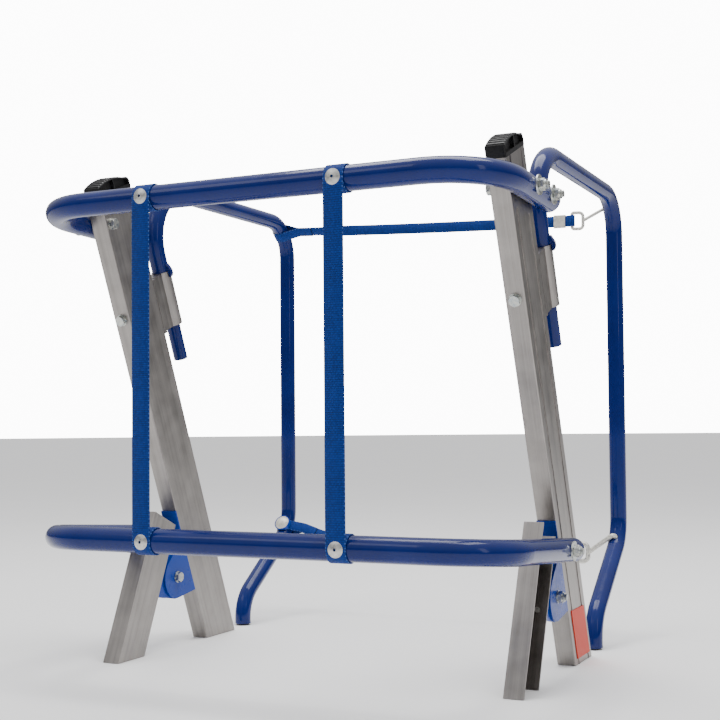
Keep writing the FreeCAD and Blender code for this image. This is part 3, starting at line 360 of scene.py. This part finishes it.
def webbing_material(name, width, dark, light):
    material, tree, shader = new_material(name, Roughness=0.72, Sheen_Weight=0.06,
                                          Sheen_Roughness=0.4, Specular_IOR_Level=0.2)
    cloth = add(tree, "UVMap", uv_map="weave").outputs["UV"]
    # the much darker mortar colour is painted shade in the grooves between the warp floats
    weave = add(tree, "TexBrick", {"Vector": cloth, "Scale": 1.0, "Brick Width": WARP_PITCH,
                                   "Row Height": WEFT_PITCH, "Mortar Size": 0.34,
                                   "Mortar Smooth": 0.7, "Color1": linear(light),
                                   "Color2": linear(dark), "Mortar": linear("#01163c")},
                offset=0.5)
    place = add(tree, "TexCoord").outputs["Object"]
    fade = add(tree, "TexNoise", {"Vector": place, "Scale": 30.0, "Detail": 4.0}).outputs["Fac"]
    fibre = add(tree, "TexNoise", {"Vector": place, "Scale": 3500.0, "Detail": 2.0}).outputs["Fac"]
    faded = add(tree, "MixRGB", {"Fac": span(tree, fade, 0.0, 0.2, 0.35, 0.8),
                                 "Color1": weave.outputs["Color"], "Color2": linear(light)})
    # dots of lighter thread along both edges
    axes = add(tree, "SeparateXYZ", {"Vector": cloth})
    across = add(tree, "Math", {0: axes.outputs["X"]}, operation="ABSOLUTE").outputs["Value"]
    edge = add(tree, "Math", {0: across, 1: width / 2 - SELVEDGE}, operation="GREATER_THAN")
    phase = add(tree, "Math", {0: axes.outputs["Y"], 1: 2 * math.pi / (2 * WEFT_PITCH)},
                operation="MULTIPLY").outputs["Value"]
    beat = add(tree, "Math", {0: phase}, operation="SINE").outputs["Value"]
    dots = add(tree, "Math", {0: edge.outputs["Value"], 1: span(tree, beat, 0.0, 0.25, 0.0, 0.6)},
               operation="MULTIPLY").outputs["Value"]
    dotted = add(tree, "MixRGB", {"Fac": dots, "Color1": faded.outputs["Color"],
                                  "Color2": linear("#6f97d6")})
    height = add(tree, "Math", {0: weave.outputs["Fac"], 1: -1.0}, operation="MULTIPLY")
    ribs = add(tree, "Bump", {"Height": height.outputs["Value"], "Distance": 0.0003,
                              "Strength": 0.8})
    fuzz = add(tree, "Bump", {"Height": fibre, "Distance": 0.00008, "Strength": 0.5,
                              "Normal": ribs.outputs["Normal"]})
    feed(tree, shader, Base_Color=dotted.outputs["Color"], Normal=fuzz.outputs["Normal"])
    return material


def band(name, points, sides, width, thick, material):
    """A band of webbing along points, whose widths lie along sides: a mesh with soft edges."""
    half, deep, round_off = width / 2, thick / 2, thick * 0.3
    outline = [(-half, -deep + round_off), (-half + round_off, -deep), (half - round_off, -deep),
               (half, -deep + round_off), (half, deep - round_off), (half - round_off, deep),
               (-half + round_off, deep), (-half, deep - round_off)]
    verts = []
    maps = []
    run = 0.0
    for i, point in enumerate(points):
        before = points[max(i - 1, 0)]
        after = points[min(i + 1, len(points) - 1)]
        heading = (after - before).normalized()
        side = (sides[i] - heading * sides[i].dot(heading)).normalized()
        face = heading.cross(side)
        run += (point - before).length
        for u, w in outline:
            verts.append(point + side * u + face * w)
            maps.append((u * 1000, run * 1000))
    count = len(outline)
    faces = []
    for i in range(len(points) - 1):
        for j in range(count):
            k = (j + 1) % count
            faces.append((i * count + j, i * count + k, (i + 1) * count + k, (i + 1) * count + j))
    faces.append(tuple(reversed(range(count))))
    faces.append(tuple((len(points) - 1) * count + j for j in range(count)))
    mesh = bpy.data.meshes.new(name)
    mesh.from_pydata(verts, [], faces)
    layer = mesh.uv_layers.new(name="weave")
    for loop in mesh.loops:
        layer.data[loop.index].uv = maps[loop.vertex_index]
    for polygon in mesh.polygons:
        polygon.use_smooth = True
    mesh.materials.append(material)
    made = bpy.data.objects.new(name, mesh)
    bpy.context.scene.collection.objects.link(made)
    return made


def arc(centre, radius, start, end, a, b, step=math.radians(6)):
    """Points round a circle in the plane of the unit vectors a and b, from angle start to end."""
    count = max(2, round(abs(end - start) / step))
    angles = [start + (end - start) * i / count for i in range(count + 1)]
    return [centre + (a * math.cos(t) + b * math.sin(t)) * radius for t in angles]


# ---- straps between the rails ----
# Each strap is three bands: a loop round the top rail, a taut run down the front and a loop round
# the mid rail.
STRAP_THICK = 0.0016
strap_low, strap_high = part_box("strap_right")
STRAP_WIDTH = strap_high.x - strap_low.x
top_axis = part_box("strap_rivets_upper")
mid_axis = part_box("strap_rivets_lower")
top_z = (top_axis[0].z + top_axis[1].z) / 2
mid_z = (mid_axis[0].z + mid_axis[1].z) / 2
loop_mid = strap_high.z - top_z - STRAP_THICK / 2
strap_y = strap_low.y + STRAP_THICK / 2
rail_y = strap_y + loop_mid
strap_cloth = webbing_material("woven_polyester_strap", STRAP_WIDTH * 1000, "#013080", "#033c96")
TUCK = math.radians(24)      # how far the hidden end of each loop is tucked behind the run
RUN_STEPS = 60
across = Vector((1, 0, 0))
front = Vector((0, -1, 0))
upward = Vector((0, 0, 1))
for side in ("left", "right"):
    low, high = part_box("strap_" + side)
    x = (low.x + high.x) / 2
    top = Vector((x, rail_y, top_z))
    mid = Vector((x, rail_y, mid_z))
    upper = arc(top, loop_mid, 2 * math.pi - TUCK, 0.0, front, upward)
    lower = arc(mid, loop_mid, 0.0, -2 * math.pi + TUCK, front, upward)
    run = [top.lerp(mid, i / RUN_STEPS) + front * loop_mid for i in range(RUN_STEPS + 1)]
    for name, points, body in (("strap_upper_loop_", upper, "frame"), ("strap_run_", run, "frame"),
                               ("strap_lower_loop_", lower, "mid_rail")):
        piece = band(name + side, points, [across] * len(points), STRAP_WIDTH, STRAP_THICK,
                     strap_cloth)
        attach(piece, body)
        if body == "frame" and points is run:
            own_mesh(piece)
            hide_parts("strap_" + side)


# ---- safety belts ----
# Narrower bands that cross between the hoops. Each is one length, sewn round the left hoop,
# twisted from the tube's slope to upright, sagging to the ferrule and looped on the hook's bar.
BELT_THICK = 0.0016
BELT_WIDTH = 0.017
BELT_GAP = 0.0002            # between the belt and the hook's bar
TWIST_LENGTH = 0.10
SEWN_REACH = 0.034           # tube's axis to the point where the loop's two layers meet
SEWN_LENGTH = 0.024
BELT_FALL = {"upper": 0.018, "lower": 0.022}      # how far the hook's end hangs below the loop
BELT_SAG = {"upper": 0.002, "lower": 0.032}       # how far the middle hangs below a straight line
WIRE_RADIUS = {"upper": 0.0025, "lower": 0.0035}  # of each hook
BELT_STEPS = 140
belt_cloth = webbing_material("woven_polyester_belt", BELT_WIDTH * 1000, "#013080", "#033c96")
thread, tree, shader = new_material("polyester_sewing_thread", Roughness=0.5, Sheen_Weight=0.2)
place = add(tree, "TexCoord").outputs["Object"]
ply = add(tree, "TexNoise", {"Vector": place, "Scale": 2400.0}).outputs["Fac"]
feed(tree, shader, Base_Color=ramp(tree, ply, "#1a56b4", "#3a78cf", 0.3, 0.7))
STITCH = 0.0026
STITCH_RADIUS = 0.00028
swing = {joint["name"]: joint for joint in frame["joints"]}


def stitches(name, corner, along, side, face):
    """A sewn box: short raised threads on one face of a band, in a rectangle with a cross."""
    long_side, short_side = SEWN_LENGTH * 0.8, BELT_WIDTH * 0.68
    a = corner + along * SEWN_LENGTH * 0.1 - side * short_side / 2
    b = a + along * long_side
    c = b + side * short_side
    d = a + side * short_side
    work = bmesh.new()
    for first, last in ((a, b), (b, c), (c, d), (d, a), (a, c), (b, d)):
        count = max(2, round((last - first).length / STITCH))
        step = (last - first) / count
        turned = step.to_track_quat("X", "Z").to_matrix().to_4x4()
        for n in range(count):
            at = first + step * (n + 0.5) + face * BELT_THICK / 2
            size = Matrix.Diagonal((STITCH * 0.42, STITCH_RADIUS, STITCH_RADIUS, 1.0))
            bmesh.ops.create_icosphere(work, subdivisions=2, radius=1.0,
                                       matrix=Matrix.Translation(at) @ turned @ size)
    mesh = bpy.data.meshes.new(name)
    work.to_mesh(mesh)
    work.free()
    mesh.materials.append(thread)
    for polygon in mesh.polygons:
        polygon.use_smooth = True
    made = bpy.data.objects.new(name, mesh)
    bpy.context.scene.collection.objects.link(made)
    return made


for level in ("upper", "lower"):
    body = level + "_belt"
    belt_low, belt_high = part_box(body)
    joint = swing[level + "_belt_swing"]
    centre = Vector(joint["pos_m"])
    slope = Vector(joint["axis"]).normalized()
    if slope.z < 0:
        slope = -slope
    ring_low, ring_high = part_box(level + "_belt_loop")
    ring = (ring_high.x - ring_low.x - BELT_THICK) / 2
    inward = Vector((1, 0, 0))
    rearward = slope.cross(inward)
    layer = rearward * BELT_THICK * 1.02

    meet = centre + inward * SEWN_REACH
    # the run: from the sewn end to the ferrule, sagging as a hung band does
    ferrule_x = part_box(body + "_ferrule")[1].x
    bar_ring = WIRE_RADIUS[level] + BELT_GAP + BELT_THICK / 2
    bar = Vector((belt_high.x - bar_ring - BELT_THICK / 2,
                  belt_low.y + bar_ring + BELT_THICK / 2, centre.z - BELT_FALL[level]))
    chord = bar - meet
    run = []
    run_sides = []
    for n in range(BELT_STEPS + 1):
        share = n / BELT_STEPS * (ferrule_x - meet.x) / chord.x
        drop = 4 * BELT_SAG[level] * share * (1 - share)
        gone = (share * chord.length - SEWN_LENGTH) / TWIST_LENGTH
        turned = min(max(gone, 0.0), 1.0)
        eased = turned * turned * (3 - 2 * turned)
        run.append(meet + chord * share - Vector((0, 0, drop)))
        run_sides.append(slope.lerp(Vector((0, 0, 1)), eased).normalized())

    # the loop: its hidden layer under the start of the run, out to the tube, round it and back
    setting_off = (run[1] - run[0]).normalized()
    bend = math.acos(ring / SEWN_REACH)
    tail = [meet + setting_off * SEWN_LENGTH * (1 - n / 6) - layer for n in range(7)]
    ring_points = arc(centre, ring, -bend, -2 * math.pi + bend, inward, rearward)
    loop_points = tail + [tail[-1].lerp(ring_points[0], n / 4) for n in (1, 2, 3)] + ring_points

    # the end loop on the hook's bar
    mouth = run[-1]
    bar.z = mouth.z
    reach = (bar - mouth).length
    toward = (bar - mouth).normalized()
    out = Vector((0, 0, 1)).cross(toward)
    open_angle = math.pi - math.acos(bar_ring / reach)
    end_points = arc(bar, bar_ring, -open_angle, open_angle, toward, out, math.radians(12))
    bridge = [mouth.lerp(end_points[0], n / 3) for n in (1, 2)]
    closing = [end_points[-1].lerp(mouth + out * BELT_THICK * 0.5, n / 3) for n in (1, 2, 3)]

    approach = [ring_points[-1].lerp(meet, n / 4) for n in (1, 2, 3)]
    points = loop_points + approach + run + bridge + end_points + closing
    before_run = len(loop_points) + len(approach)
    after_run = len(bridge) + len(end_points) + len(closing)
    sides = [slope] * before_run + run_sides + [Vector((0, 0, 1))] * after_run
    piece = band(level + "_belt_webbing", points, sides, BELT_WIDTH, BELT_THICK, belt_cloth)
    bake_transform(piece)
    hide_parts(body, level + "_belt_loop")
    sewing = stitches(level + "_belt_stitching", meet, setting_off, slope, -rearward)
    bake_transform(sewing)


# ---- measured size ----
size = {"cad": cad_box, "visual": [list(corner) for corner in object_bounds()]}
